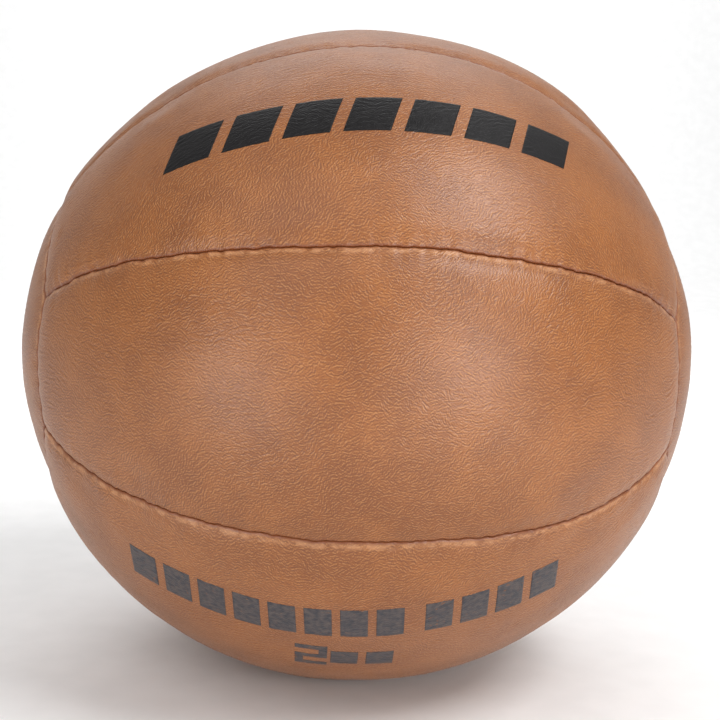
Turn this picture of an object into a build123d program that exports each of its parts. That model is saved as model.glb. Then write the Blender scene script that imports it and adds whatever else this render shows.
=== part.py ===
"""Stuffed 2 kg medicine ball.

Eight gores run from end to end (along X) and meet an octagonal cap at each
end. Every panel turns inward at its edges as a sewing flange, and waxed thread
runs through each pair of flanges. Inside are a tied liner bag, textile
stuffing, and a tied pouch of sand at the centre.

Millimetres. +X is the seam-to-seam length, -Y the printed front, +Z up. The
origin is the centre of the flat spot that the ball rests on.
"""

import os
from math import asin, cos, radians, sin, sqrt, tan

from build123d import *

# Overall size
HALF_LENGTH = 111.5  # centre to the crown of an end cap
GORE_CROWN_R = 108.3  # X axis to the middle of a gore
REST_SAG = 2.0  # how far the bottom gore is pressed flat

# Cover
GORE_COUNT = 8
GORE_STEP = 360 / GORE_COUNT
SEAM_TURNS = (GORE_STEP / 2, -GORE_STEP / 2)
CAP_TURNS = [GORE_STEP * index for index in range(GORE_COUNT)]
CAP_APOTHEM_DEG = 26.2  # from the X axis to the middle of a cap's side
CAP_DOME_R = 92.0
PUFF_SHIFT = 20.0  # a gore is curved about a line this far off the X axis
LEATHER = 1.3
SEAM_HALF_GAP = 0.25
EDGE_ROLL = 3.5  # outer radius of the leather where it turns inward
LEAST_ROLL = 0.8  # edge radius of the fillings behind it
FLANGE_DEPTH = 9.0  # free edge of a flange, below the crown's level

# Sewing
THREAD_R = 0.45
HOLE_R = 0.5
HOLE_LENGTH = 7.8
THREAD_CLEAR = 0.05  # thread to the face of a flange
THREAD_BEND = 0.6
TAIL = 0.6  # thread beyond the last hole, as a share of a stitch
STITCH_DEPTH = 6.4  # stitch line, below the crown's level
STITCH_COUNT = 36  # along one gore seam
STITCH_HALF_ARC_DEG = 57.5
CAP_STITCH_PITCH = 6.0
CAP_HOLES_PER_SIDE = 6

# Liner bag and stuffing
LINER_CLOTH = 0.8
LINER_CLEAR = 1.0  # liner to leather
THREAD_ROOM = 1.1  # extra space beside a flange for its thread
STUFFING_CLEAR = 0.1  # stuffing to either bag

# Tied necks of the two bags
NECK_ROOT = 3.0
NECK_BASE_R = 12.0
NECK_WAIST_R = 6.0
NECK_END_R = 10.0
NECK_SLOPE = 6.0
NECK_WAIST_LENGTH = 8.0
TIE_R = 1.0
TIE_TURNS = 2
TIE_GAP = 0.3
NECK_ROOM = 1.5
LINER_NECK_R = 98.0  # centre of the ball to the base of the liner's neck

# Weight pouch
POUCH_R = 42.0
POUCH_CLOTH = 0.8
SAND_CLEAR = 0.1

# Printed marks, in plain blocks laid out along a gore
FILM = 0.2
FILM_LIFT = 0.02
UPPER_BLOCK = (13.0, 13.5)
UPPER_LEAN = 0.3  # sideways per unit of height
UPPER_GAP = 3.6
UPPER_COUNT = 7
UPPER_LINE_Y = -1.0
UPPER_TILT = 3.0
LOWER_BLOCK = (7.8, 12.5)
LOWER_GAP = 2.4
LOWER_GROUPS = ((-25.0, 8), (39.8, 4))  # centre and number of blocks
LOWER_LINE_Y = 13.5
LOWER_TILT = 2.5
WEIGHT_LINE_Y = -7.0
NUMERAL = (9.5, 14.0)
NUMERAL_STROKE = 2.5
NUMERAL_X = -12.0
UNIT_BLOCK = (8.0, 9.0)
UNIT_COUNT = 2
UNIT_X = 3.0

REACH = 260.0  # construction size, well outside the ball

GORES = {
    "gore_top": 90.0,
    "gore_front_top": 45.0,
    "gore_front": 0.0,
    "gore_front_bottom": -45.0,
    "gore_bottom": -90.0,
    "gore_back_bottom": -135.0,
    "gore_back": 180.0,
    "gore_back_top": 135.0,
}
CLOSING_SEAM_DEG = -112.5
SEAM_THREADS = {
    "thread_front_upper": 22.5,
    "thread_top_front": 67.5,
    "thread_top_back": 112.5,
    "thread_back_upper": 157.5,
    "thread_back_lower": -157.5,
    "thread_closing_seam": CLOSING_SEAM_DEG,
    "thread_bottom_front": -67.5,
    "thread_front_lower": -22.5,
}

# The length profile is an arc whose centre is ARC_DROP beyond the X axis
ARC_DROP = (HALF_LENGTH**2 - GORE_CROWN_R**2) / (2 * GORE_CROWN_R)
ARC_R = GORE_CROWN_R + ARC_DROP
REST_LEVEL = GORE_CROWN_R - REST_SAG  # centre of the ball to the floor
CAP_ANGLE = radians(CAP_APOTHEM_DEG)
HALF_GORE = radians(GORE_STEP / 2)


def around(elevation_deg):
    """Turn that takes +Z to this elevation above the front (-Y) direction."""
    return Rot(X=90.0 - elevation_deg)


def lemon(depth, shift=0.0):
    """Solid under the length profile, turned about a line `shift` above the X axis."""
    arc_r = ARC_R - depth
    tip = sqrt(arc_r**2 - (shift + ARC_DROP) ** 2)
    crown = (0, 0, arc_r - ARC_DROP)
    profile = ThreePointArc((-tip, 0, shift), crown, (tip, 0, shift))
    chord = Line((tip, 0, shift), (-tip, 0, shift))
    axis = Axis((0, 0, shift), (1, 0, 0))
    face = make_face([profile, chord]).rotate(axis, 180)
    return revolve(face, axis, 360)


def seam_wedge(plane, half_angle, inset):
    """Long wedge about +Z whose two faces lie `inset` inside planes through the centre."""
    apex = inset / sin(half_angle)
    spread = REACH * tan(half_angle)
    top = apex + REACH
    outline = Polygon((0, apex), (spread, top), (-spread, top), align=None)
    return extrude(plane * outline, REACH, both=True)


def rolled(blank, outer_face, depth):
    """Round the edges of a blank's outer face, as leather or filling turns inward."""
    return fillet(outer_face.edges(), max(EDGE_ROLL - depth, LEAST_ROLL))


def gore_blank(depth, inset, resting=False):
    """Filled wedge of a gore about +Z, its outside `depth` below the leather's face.

    A resting gore is also pressed flat, to `depth` above the floor.
    """
    blank = lemon(depth, PUFF_SHIFT)
    blank &= seam_wedge(Plane.YZ, HALF_GORE, inset)
    blank &= seam_wedge(Plane.XZ, radians(90) - CAP_ANGLE, inset)
    blank = rolled(blank, blank.faces().sort_by(Axis.Z)[-1], depth)
    if resting:
        floor = Pos(0, 0, REST_LEVEL - depth + REACH / 2) * Box(REACH, REACH, REACH)
        blank -= floor
    return blank


def cap_blank(depth, inset):
    """Filled octagonal pyramid of the right end cap, with a domed outside."""
    apex = inset / sin(CAP_ANGLE)
    octagon = RegularPolygon(
        REACH * tan(CAP_ANGLE), GORE_COUNT, major_radius=False, rotation=GORE_STEP / 2
    )
    base = Plane.YZ.offset(apex + REACH) * octagon
    pyramid = loft([Vertex(apex, 0, 0), base.face()])
    dome = Pos(HALF_LENGTH - CAP_DOME_R, 0, 0) * Sphere(CAP_DOME_R - depth)
    blank = dome & pyramid
    return rolled(blank, blank.faces().sort_by(Axis.X)[-1], depth)


# Stitch positions. A gore seam is laid out in the XZ plane, a cap seam on the
# side of the right cap that faces +Z.

STITCH_R = ARC_R - STITCH_DEPTH
THREAD_SIDE = SEAM_HALF_GAP + LEATHER + THREAD_CLEAR + THREAD_R
CAP_SIDE_MID = Vector(cos(CAP_ANGLE), 0, sin(CAP_ANGLE))
CAP_SIDE_NORMAL = Vector(-sin(CAP_ANGLE), 0, cos(CAP_ANGLE))
CAP_STITCH_R = 102.7  # centre of the ball to a cap seam's stitch line


def gore_stitch_point(index):
    """Point number `index` on a gore seam's stitch line."""
    turn = radians(STITCH_HALF_ARC_DEG) * (2 * index / STITCH_COUNT - 1)
    return Vector(STITCH_R * sin(turn), 0, STITCH_R * cos(turn) - ARC_DROP)


def cap_stitch_point(index):
    """Point number `index` on one side of a cap seam's stitch line."""
    along = CAP_STITCH_PITCH * ((CAP_HOLES_PER_SIDE - 1) / 2 - index)
    turn = asin(along / CAP_STITCH_R)
    return (CAP_SIDE_MID * cos(turn) + Vector(0, 1, 0) * sin(turn)) * CAP_STITCH_R


GORE_STITCHES = [gore_stitch_point(index) for index in range(STITCH_COUNT + 1)]
CAP_STITCHES = [cap_stitch_point(index) for index in range(CAP_HOLES_PER_SIDE)]


def holes(points, direction):
    """Awl holes through the pair of flanges at each stitch point."""
    drill = Cylinder(HOLE_R, HOLE_LENGTH)
    return [Plane(origin=point, z_dir=direction) * drill for point in points]


def running_stitch(points, side):
    """Corners of a thread that changes sides of the seam at every point."""
    corners = []
    for index, point in enumerate(points):
        first = side if index % 2 == 0 else side * -1
        corners += [point + first, point - first]
    return corners


def thread(corners, closed=False):
    """Round thread along the corners, bent softly at each."""
    path = FilletPolyline(*corners, radius=THREAD_BEND, close=closed)
    section = Plane(origin=path @ 0, z_dir=path % 0) * Circle(THREAD_R)
    return sweep(section, path=path)


def gore_thread():
    """Running stitch along one gore seam."""
    corners = running_stitch(GORE_STITCHES, Vector(0, THREAD_SIDE, 0))
    start = corners[0] + (GORE_STITCHES[0] - GORE_STITCHES[1]) * TAIL
    end = corners[-1] + (GORE_STITCHES[-1] - GORE_STITCHES[-2]) * TAIL
    return thread([start, *corners, end])


def cap_thread():
    """Running stitch round the right cap, which turns its corners inside the cap."""
    following = CAP_SIDE_NORMAL.rotate(Axis.X, GORE_STEP)
    outward = (CAP_SIDE_NORMAL + following).normalized()
    corner = CAP_SIDE_NORMAL.cross(following).normalized() * CAP_STITCH_R
    corner -= outward * (THREAD_SIDE / outward.dot(CAP_SIDE_NORMAL))
    side = running_stitch(CAP_STITCHES, CAP_SIDE_NORMAL * -THREAD_SIDE) + [corner]
    return thread([p.rotate(Axis.X, turn) for turn in CAP_TURNS for p in side], closed=True)


def gore_panel(resting=False):
    """Leather gore about +Z, with flanges and stitch holes on all four sides."""
    panel = gore_blank(0, SEAM_HALF_GAP, resting)
    panel -= gore_blank(LEATHER, SEAM_HALF_GAP + LEATHER, resting)
    along_seam = holes(GORE_STITCHES, (0, 1, 0))
    drills = [Rot(X=turn) * drill for turn in SEAM_TURNS for drill in along_seam]
    right_end = holes(CAP_STITCHES, CAP_SIDE_NORMAL)
    left_end = [mirror(drill, Plane.YZ) for drill in right_end]
    return panel - lemon(FLANGE_DEPTH) - drills - right_end - left_end


def cap_panel():
    """Right octagonal end cap, with flanges and stitch holes on all eight sides."""
    panel = cap_blank(0, SEAM_HALF_GAP)
    panel -= cap_blank(LEATHER, SEAM_HALF_GAP + LEATHER)
    one_side = holes(CAP_STITCHES, CAP_SIDE_NORMAL)
    drills = [Rot(X=turn) * drill for turn in CAP_TURNS for drill in one_side]
    return panel - lemon(FLANGE_DEPTH) - drills


def filling(clearance):
    """All the room inside the cover, `clearance` clear of leather and thread.

    It is a core under the flanges with a raised pad behind each panel.
    """
    depth = LEATHER + clearance
    inset = SEAM_HALF_GAP + LEATHER + THREAD_ROOM + clearance
    pads = [
        around(elevation) * gore_blank(depth, inset, resting=name == "gore_bottom")
        for name, elevation in GORES.items()
    ]
    cap_pad = cap_blank(depth, inset)
    return lemon(FLANGE_DEPTH + clearance) + pads + [cap_pad, mirror(cap_pad, Plane.YZ)]


def bag_neck():
    """Gathered neck of a cloth bag, rising from z = 0, waisted where it is tied."""
    waist_top = NECK_SLOPE + NECK_WAIST_LENGTH
    top = waist_top + NECK_SLOPE
    outline = Polyline(
        (0, -NECK_ROOT),
        (NECK_BASE_R, -NECK_ROOT),
        (NECK_BASE_R, 0),
        (NECK_WAIST_R, NECK_SLOPE),
        (NECK_WAIST_R, waist_top),
        (NECK_END_R, top),
        (0, top),
        close=True,
    )
    return revolve(Plane.XZ * make_face(outline), Axis.Z, 360)


def neck_tie():
    """Cord wound round the waist of a bag's neck."""
    pitch = 2 * TIE_R + TIE_GAP
    length = pitch * TIE_TURNS
    start = NECK_SLOPE + (NECK_WAIST_LENGTH - length) / 2
    coil = Pos(0, 0, start) * Helix(pitch, length, NECK_WAIST_R + TIE_R + THREAD_CLEAR)
    section = Plane(origin=coil @ 0, z_dir=coil % 0) * Circle(TIE_R)
    return sweep(section, path=coil)


def neck_space():
    """Room that a tied neck takes up in the stuffing."""
    top = 2 * NECK_SLOPE + NECK_WAIST_LENGTH + NECK_ROOM
    foot = NECK_ROOT + NECK_ROOM
    return Pos(0, 0, (top - foot) / 2) * Cylinder(NECK_BASE_R + NECK_ROOM, top + foot)


def printed(elevation, marks):
    """Printed film that follows the face of a gore, from flat marks drawn on it."""
    skin = lemon(-FILM_LIFT - FILM, PUFF_SHIFT) - lemon(-FILM_LIFT, PUFF_SHIFT)
    return around(elevation) * (extrude(Sketch() + marks, REACH / 2) & skin)


def slanted_block(x, y, size, slope):
    """Parallelogram leaning to the right by `slope`, centred on (x, y)."""
    half, rise = size[0] / 2, size[1] / 2
    lean = rise * slope
    corners = [
        (x - half - lean, y - rise),
        (x + half - lean, y - rise),
        (x + half + lean, y + rise),
        (x - half + lean, y + rise),
    ]
    return Polygon(*corners, align=None)


def block_row(centre_x, y, count, size, gap, slope=0.0, tilt=0.0):
    """Row of equal blocks, centred on (centre_x, y) and then tilted about the panel's middle."""
    step = size[0] + gap
    start = centre_x - step * (count - 1) / 2
    turn = Rot(Z=tilt)
    return [turn * slanted_block(start + step * i, y, size, slope) for i in range(count)]


def numeral_two(x, y):
    """Plain figure 2 made of five straight strokes, centred on (x, y)."""
    width, height = NUMERAL
    rise = (height - NUMERAL_STROKE) / 2
    side = (width - NUMERAL_STROKE) / 2
    bar = Rectangle(width, NUMERAL_STROKE)
    post = Rectangle(NUMERAL_STROKE, rise + NUMERAL_STROKE)
    strokes = [Pos(x, y + level) * bar for level in (rise, 0, -rise)]
    strokes.append(Pos(x + side, y + rise / 2) * post)
    strokes.append(Pos(x - side, y - rise / 2) * post)
    return strokes


parts = {}

# Cover
gore = gore_panel()
for name, elevation in GORES.items():
    parts[name] = around(elevation) * gore
parts["gore_bottom"] = around(GORES["gore_bottom"]) * gore_panel(resting=True)
parts["end_cap_right"] = cap_panel()
parts["end_cap_left"] = mirror(parts["end_cap_right"], Plane.YZ)

# Sewing
strand = gore_thread()
for name, elevation in SEAM_THREADS.items():
    parts[name] = around(elevation) * strand
parts["thread_cap_right"] = cap_thread()
parts["thread_cap_left"] = mirror(parts["thread_cap_right"], Plane.YZ)

# Liner bag, tied shut behind the closing seam
liner_neck_place = around(CLOSING_SEAM_DEG) * Pos(0, 0, LINER_NECK_R) * Rot(X=180)
hollow = filling(LINER_CLEAR + LINER_CLOTH) - liner_neck_place * bag_neck()
parts["liner_bag"] = filling(LINER_CLEAR) - hollow
parts["liner_tie"] = liner_neck_place * neck_tie()

# Weight pouch at the centre, its neck upward
pouch_neck_place = Pos(0, 0, POUCH_R)
pouch = Sphere(POUCH_R) + pouch_neck_place * bag_neck()
parts["weight_pouch"] = pouch - Sphere(POUCH_R - POUCH_CLOTH)
parts["pouch_tie"] = pouch_neck_place * neck_tie()
parts["weight_fill"] = Sphere(POUCH_R - POUCH_CLOTH - SAND_CLEAR)

# Stuffing fills the rest
stuffing = filling(LINER_CLEAR + LINER_CLOTH + STUFFING_CLEAR)
stuffing -= Sphere(POUCH_R + STUFFING_CLEAR)
stuffing -= [liner_neck_place * neck_space(), pouch_neck_place * neck_space()]
parts["stuffing"] = stuffing

# Printed marks on the front
upper = block_row(
    0, UPPER_LINE_Y, UPPER_COUNT, UPPER_BLOCK, UPPER_GAP, UPPER_LEAN, UPPER_TILT
)
parts["print_upper_band"] = printed(GORES["gore_front_top"], upper)
lower = []
for centre_x, count in LOWER_GROUPS:
    lower += block_row(
        centre_x, LOWER_LINE_Y, count, LOWER_BLOCK, LOWER_GAP, tilt=LOWER_TILT
    )
parts["print_lower_band"] = printed(GORES["gore_front_bottom"], lower)
mark = numeral_two(NUMERAL_X, WEIGHT_LINE_Y)
mark += block_row(UNIT_X, WEIGHT_LINE_Y, UNIT_COUNT, UNIT_BLOCK, LOWER_GAP)
parts["print_weight_mark"] = printed(GORES["gore_front_bottom"], mark)

os.makedirs("parts", exist_ok=True)
for name, part in parts.items():
    export_step(Pos(0, 0, REST_LEVEL) * part, f"parts/{name}.step")
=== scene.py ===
"""Looks of the stuffed leather medicine ball: ten sewn leather panels, their printed marks and the studio."""

import math

import bpy
import numpy as np
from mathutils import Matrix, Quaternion, Vector


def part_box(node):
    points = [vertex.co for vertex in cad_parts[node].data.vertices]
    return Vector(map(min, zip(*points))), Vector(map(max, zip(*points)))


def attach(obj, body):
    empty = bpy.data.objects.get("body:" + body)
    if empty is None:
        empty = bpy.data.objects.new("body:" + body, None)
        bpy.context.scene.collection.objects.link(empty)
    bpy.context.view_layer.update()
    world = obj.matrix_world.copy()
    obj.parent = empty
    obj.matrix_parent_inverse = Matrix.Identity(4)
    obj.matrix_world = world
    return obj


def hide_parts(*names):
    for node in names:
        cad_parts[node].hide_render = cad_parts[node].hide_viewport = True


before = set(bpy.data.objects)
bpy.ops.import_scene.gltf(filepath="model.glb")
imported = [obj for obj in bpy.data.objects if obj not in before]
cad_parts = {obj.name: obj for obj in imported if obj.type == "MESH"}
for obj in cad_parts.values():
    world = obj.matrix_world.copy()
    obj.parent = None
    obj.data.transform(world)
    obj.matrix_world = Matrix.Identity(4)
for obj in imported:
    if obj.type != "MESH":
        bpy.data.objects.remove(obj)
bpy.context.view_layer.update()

MM = 0.001

# ---------------------------------------------------------------- the ball's frame, from the CAD

GORES = {
    "gore_front": 0.0,
    "gore_front_top": 45.0,
    "gore_top": 90.0,
    "gore_back_top": 135.0,
    "gore_back": 180.0,
    "gore_back_bottom": 225.0,
    "gore_bottom": 270.0,
    "gore_front_bottom": 315.0,
}
CAPS = {"end_cap_left": -1.0, "end_cap_right": 1.0}
HALF_GORE = math.radians(22.5)
CROWN_R = -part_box("gore_front")[0].y
HALF_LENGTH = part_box("end_cap_right")[1].x
CENTRE = np.array([0.0, 0.0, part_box("gore_top")[1].z - CROWN_R])
CAP_APOTHEM = math.radians(26.2)
ARC_DROP = (HALF_LENGTH**2 - CROWN_R**2) / (2 * CROWN_R)
ARC_R = CROWN_R + ARC_DROP

# ---------------------------------------------------------------- noise

NOISE_RNG = np.random.RandomState(11)
NOISE_PERM = NOISE_RNG.permutation(256)
NOISE_GRAD = NOISE_RNG.normal(size=(256, 3))
NOISE_GRAD /= np.linalg.norm(NOISE_GRAD, axis=1)[:, None]
# Keeps the noise's grid lines at different places at each scale
NOISE_OFFSET = np.array([0.37, 0.61, 0.23])
NOISE_GAIN = 1.6


def noise(x, y, z=0.0):
    """Smooth gradient noise, about -1 to 1, with features one unit across."""
    p = np.stack(np.broadcast_arrays(x, y, z), axis=-1) + NOISE_OFFSET
    cell = np.floor(p).astype(int)
    f = p - cell
    cell &= 255
    fade = f * f * f * (f * (f * 6 - 15) + 10)
    total = 0.0
    for dx in (0, 1):
        for dy in (0, 1):
            for dz in (0, 1):
                h = NOISE_PERM[(cell[..., 0] + dx) & 255]
                h = NOISE_PERM[(h + cell[..., 1] + dy) & 255]
                h = NOISE_PERM[(h + cell[..., 2] + dz) & 255]
                offset = f - np.array([dx, dy, dz])
                dot = (NOISE_GRAD[h] * offset).sum(-1)
                wx = fade[..., 0] if dx else 1 - fade[..., 0]
                wy = fade[..., 1] if dy else 1 - fade[..., 1]
                wz = fade[..., 2] if dz else 1 - fade[..., 2]
                total = total + wx * wy * wz * dot
    return total * NOISE_GAIN


def smoothstep(lo, hi, x):
    """Smooth rise from 0 to 1 between two values."""
    t = np.clip((x - lo) / (hi - lo), 0, 1)
    return t * t * (3 - 2 * t)


# ---------------------------------------------------------------- smooth body of the ball


def gore_psi(name, azimuth):
    """Azimuth from the middle of a gore."""
    return azimuth - math.radians(GORES[name])


def cap_psi(azimuth):
    """Azimuth from the middle of the nearest gore."""
    return (azimuth + HALF_GORE) % (2 * HALF_GORE) - HALF_GORE


def cap_polar(psi):
    """Angle from the X axis to the cap seam, at azimuth psi from a gore's middle."""
    return np.arctan(math.tan(CAP_APOTHEM) / np.cos(psi))


def on_ball(latitude, elevation):
    """Point of the smooth ball at a latitude (towards +X) and an elevation above the front."""
    reach = -ARC_DROP * np.cos(latitude)
    reach = reach + np.sqrt(reach**2 + ARC_R**2 - ARC_DROP**2)
    around = reach * np.cos(latitude)
    place = [reach * np.sin(latitude), -around * np.cos(elevation), around * np.sin(elevation)]
    return np.stack(place, axis=-1)


def gore_grid(elevation, along, across):
    """Points of one gore; along and across run from -1 to 1."""
    w, v = np.meshgrid(along, across, indexing="ij")
    psi = v * HALF_GORE
    return on_ball(w * (math.pi / 2 - cap_polar(psi)), math.radians(elevation) + psi)


def cap_grid(side, rings, azimuths):
    """Points of one end cap; rings run from 0 at the pole to 1 at the seam, azimuths are elevations."""
    q, a = np.meshgrid(rings, azimuths, indexing="ij")
    return on_ball(side * (math.pi / 2 - q * cap_polar(cap_psi(a))), a)


# ---------------------------------------------------------------- cloth run: the stuffing swells the cover

SIM_ALONG, SIM_ACROSS, SIM_RINGS = 72, 18, 8
SIM_AROUND = 8 * SIM_ACROSS
SIM_FRAMES = 20
SIM_SMOOTHING = 4
SEAM_SUNK, FACE_SUNK = 0.9 * MM, 0.4 * MM
MAX_SWELL = 2.2 * MM
SLACK_PATCH = 28 * MM
BARREL_POINTS = (SIM_ALONG + 1) * SIM_AROUND
CAP_POINTS = (SIM_RINGS - 1) * SIM_AROUND
CLOTH = {
    "quality": 6,
    "mass": 0.25,
    "tension_stiffness": 18,
    "compression_stiffness": 18,
    "shear_stiffness": 8,
    "bending_stiffness": 4,
    "vertex_group_mass": "seam",
    "use_pressure": True,
    "uniform_pressure_force": 12.0,
    "vertex_group_shrink": "slack",
    "shrink_min": -0.01,
    "shrink_max": -0.035,
}


def cover_vertices():
    """Barrel rows from left to right, then the rings and pole of each cap."""
    along = np.linspace(-1, 1, SIM_ALONG + 1)
    across = np.linspace(-1, 1, SIM_ACROSS + 1)[:-1]
    barrel = np.concatenate([gore_grid(e, along, across) for e in GORES.values()], axis=1)
    azimuths = -HALF_GORE + np.arange(SIM_AROUND) / SIM_AROUND * 2 * math.pi
    rings = np.arange(1, SIM_RINGS) / SIM_RINGS
    caps = [cap_grid(side, rings, azimuths) for side in CAPS.values()]
    poles = [on_ball(np.array([side * math.pi / 2]), np.array([0.0])) for side in CAPS.values()]
    return barrel, caps, poles


def even_out(rings):
    """Cap displacements without the creases that a fan of narrow faces makes round its pole."""
    waves = np.fft.rfft(rings, axis=1)
    for ring in range(SIM_RINGS):
        waves[ring, 1 + ring // 2 :] = 0
    smooth = np.fft.irfft(waves, n=rings.shape[1], axis=1)
    smooth[0] = smooth[1].mean(0)
    for _ in range(SIM_SMOOTHING):
        smooth[1:-1] = (smooth[:-2] + 2 * smooth[1:-1] + smooth[2:]) / 4
        smooth[0] = smooth[1].mean(0)
    return smooth


def barrel_id(row, column):
    """Index of a barrel's point."""
    return row * SIM_AROUND + column % SIM_AROUND


def cap_id(side, ring, column):
    """Index of a cap's point; its last ring is the end row of the barrel."""
    if ring == SIM_RINGS:
        return barrel_id(SIM_ALONG if side else 0, column)
    return BARREL_POINTS + side * CAP_POINTS + (ring - 1) * SIM_AROUND + column % SIM_AROUND


def cover_faces():
    """Faces of the whole cover: the barrel, then the left and right caps."""
    faces = [
        (barrel_id(r, c), barrel_id(r + 1, c), barrel_id(r + 1, c + 1), barrel_id(r, c + 1))
        for r in range(SIM_ALONG)
        for c in range(SIM_AROUND)
    ]
    for side in (0, 1):
        pole = BARREL_POINTS + 2 * CAP_POINTS + side
        for c in range(SIM_AROUND):
            fan = [(cap_id(side, 1, c), cap_id(side, 1, c + 1), pole)]
            for r in range(1, SIM_RINGS):
                outer = (cap_id(side, r + 1, c), cap_id(side, r + 1, c + 1))
                fan.append((*outer, cap_id(side, r, c + 1), cap_id(side, r, c)))
            faces += [f[::-1] if side else f for f in fan]
    return faces


def cloth_run(rest, start, seam):
    """Where a cloth that starts at some points ends up under pressure, with its seam points pinned."""
    mesh = bpy.data.meshes.new("cover_cloth")
    mesh.from_pydata((start + CENTRE).tolist(), [], cover_faces())
    mesh.update()
    cover = bpy.data.objects.new("cover_cloth", mesh)
    bpy.context.scene.collection.objects.link(cover)
    pins = cover.vertex_groups.new(name="seam")
    pins.add(np.flatnonzero(seam).tolist(), 1.0, "REPLACE")
    slack = cover.vertex_groups.new(name="slack")
    looseness = 0.5 + 0.5 * noise(*(rest / SLACK_PATCH).T)
    for i, amount in enumerate(looseness):
        slack.add([i], float(np.clip(amount, 0, 1)), "REPLACE")
    cloth = cover.modifiers.new("cloth", "CLOTH")
    for label, value in CLOTH.items():
        setattr(cloth.settings, label, value)
    cloth.settings.effector_weights.gravity = 0
    cloth.collision_settings.use_collision = False
    scene = bpy.context.scene
    for f in range(1, SIM_FRAMES + 1):
        scene.frame_set(f)
    view = cover.evaluated_get(bpy.context.evaluated_depsgraph_get())
    out = np.empty(len(rest) * 3)
    view.data.vertices.foreach_get("co", out)
    scene.frame_set(1)
    bpy.data.objects.remove(cover)
    return out.reshape(-1, 3) - CENTRE


def swell():
    """How far the stuffing pushes each grid point of the cover, from a cloth run under pressure."""
    barrel, caps, poles = cover_vertices()
    rest = np.concatenate([barrel.reshape(-1, 3)] + [c.reshape(-1, 3) for c in caps] + poles)
    seam = np.zeros(len(rest), bool)
    on_seam = np.zeros(barrel.shape[:2], bool)
    on_seam[:, ::SIM_ACROSS] = True
    on_seam[[0, -1]] = True
    seam[:BARREL_POINTS] = on_seam.ravel()
    outward = rest / np.linalg.norm(rest, axis=1)[:, None]
    start = rest - outward * np.where(seam, SEAM_SUNK, FACE_SUNK)[:, None]
    moved = cloth_run(rest, start, seam) - rest
    far = np.maximum(np.linalg.norm(moved, axis=1), 1e-9)
    moved *= (MAX_SWELL * np.tanh(far / MAX_SWELL) / far)[:, None]
    barrel_moved = moved[:BARREL_POINTS].reshape(SIM_ALONG + 1, SIM_AROUND, 3)
    for _ in range(SIM_SMOOTHING):
        barrel_moved[1:-1] = (barrel_moved[:-2] + 2 * barrel_moved[1:-1] + barrel_moved[2:]) / 4
    caps_moved = []
    for side in (0, 1):
        rings = moved[BARREL_POINTS + side * CAP_POINTS :][:CAP_POINTS].reshape(-1, SIM_AROUND, 3)
        pole = np.repeat(moved[BARREL_POINTS + 2 * CAP_POINTS + side][None, None], SIM_AROUND, axis=1)
        edge = barrel_moved[-1 if side else 0][None]
        caps_moved.append(even_out(np.concatenate([pole, rings, edge])))
    return barrel_moved, caps_moved


barrel_swell, caps_swell = swell()
barrel_swell = np.concatenate([barrel_swell, barrel_swell[:, :1]], axis=1)
GORE_SWELL = {
    name: barrel_swell[:, i * SIM_ACROSS : (i + 1) * SIM_ACROSS + 1] for i, name in enumerate(GORES)
}
CAP_SWELL = dict(zip(CAPS, caps_swell))


def cubic_weights(t):
    """Catmull-Rom weights of the four samples around a point."""
    t2, t3 = t * t, t * t * t
    return 0.5 * np.stack([2 * t2 - t - t3, 3 * t3 - 5 * t2 + 2, 4 * t2 - 3 * t3 + t, t3 - t2])


def sample(table, row, column, around=False):
    """Smooth reading of a grid of vectors at fractional rows and columns."""
    rows, columns = table.shape[:2]
    r0 = np.clip(np.floor(row).astype(int), 0, rows - 2)
    c0 = np.floor(column).astype(int)
    if not around:
        c0 = np.clip(c0, 0, columns - 2)
    wr, wc = cubic_weights(row - r0), cubic_weights(column - c0)
    total = 0.0
    for i in range(4):
        ri = np.clip(r0 + i - 1, 0, rows - 1)
        for j in range(4):
            cj = c0 + j - 1
            cj = cj % columns if around else np.clip(cj, 0, columns - 1)
            total = total + (wr[i] * wc[j])[..., None] * table[ri, cj]
    return total


# ---------------------------------------------------------------- leather surface

# All in mm, except the positions themselves
SEAM_GAP = 0.05
ROLL = 0.65
LEATHER = 1.3
STITCH = 6.4
BALL_R = 109.0
CAP_SEAM_R = 48.5
FLOOR_SOFTNESS = 1.0
GRAIN_PITCH, GRAIN_HEIGHT = 1.6, 0.032
FOLD_HEIGHT, FOLD_LENGTH, FOLD_WIDTH = 0.08, 19, 7.5
# Reach (mm) of the seam mark, which places the painted shade along the seams and the painted highlight on
# their lips
SEAM_SHADE_REACH = 1.5
STRAY_REACH = 18.0  # how far from a seam its drift dies away
WANDER_REACH, WOBBLE_REACH = 5.0, 1.4
STITCH_DIP, DIP_REACH = 0.2, 3.5
SCALLOP, SCALLOP_REACH = 0.34, 1.1
PUCKER = 0.16
LUMP_WAVES, LUMP_HEIGHT = 2.9, 0.5  # waves over the unit sphere

# Where the stuffing is packed fuller or slacker: (latitude, elevation), spread in degrees, height in mm
LUMPS = [
    ((34, 88), 20, 1.3),
    ((-32, 90), 24, -1.9),
    ((2, 86), 16, -0.7),
    ((-68, 80), 14, 1.2),
    ((-72, -90), 12, -1.2),
    ((-40, -90), 11, 1.9),
    ((50, -90), 12, 1.9),
    ((84, 0), 24, 1.0),
    ((22, 8), 16, 0.6),
    ((-42, -6), 16, -0.5),
]

# How far three seams stray from straight, upward: (latitude in degrees, mm).
# Seam k lies below gore k, in the order of GORES.
SEAM_STRAYS = {
    1: [
        (-62, 0), (-50, 1.5), (-38, 0.8), (-20, -0.5), (-8, -0.8),
        (5, 0), (20, 0), (35, 0.5), (48, 1.5), (62, 0),
    ],
    0: [
        (-62, 0), (-50, -0.9), (-30, 0), (-15, 1.2), (0, 1.7), (11, 1.8),
        (20, 0.6), (30, -1), (42, -2), (52, -1.5), (62, 0),
    ],
    2: [
        (-62, 0), (-42, -2), (-27, -2.3), (-15, -1.4), (0, 0.8),
        (12, 2.0), (27, 2.4), (42, 2.0), (62, 0),
    ],
}


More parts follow.
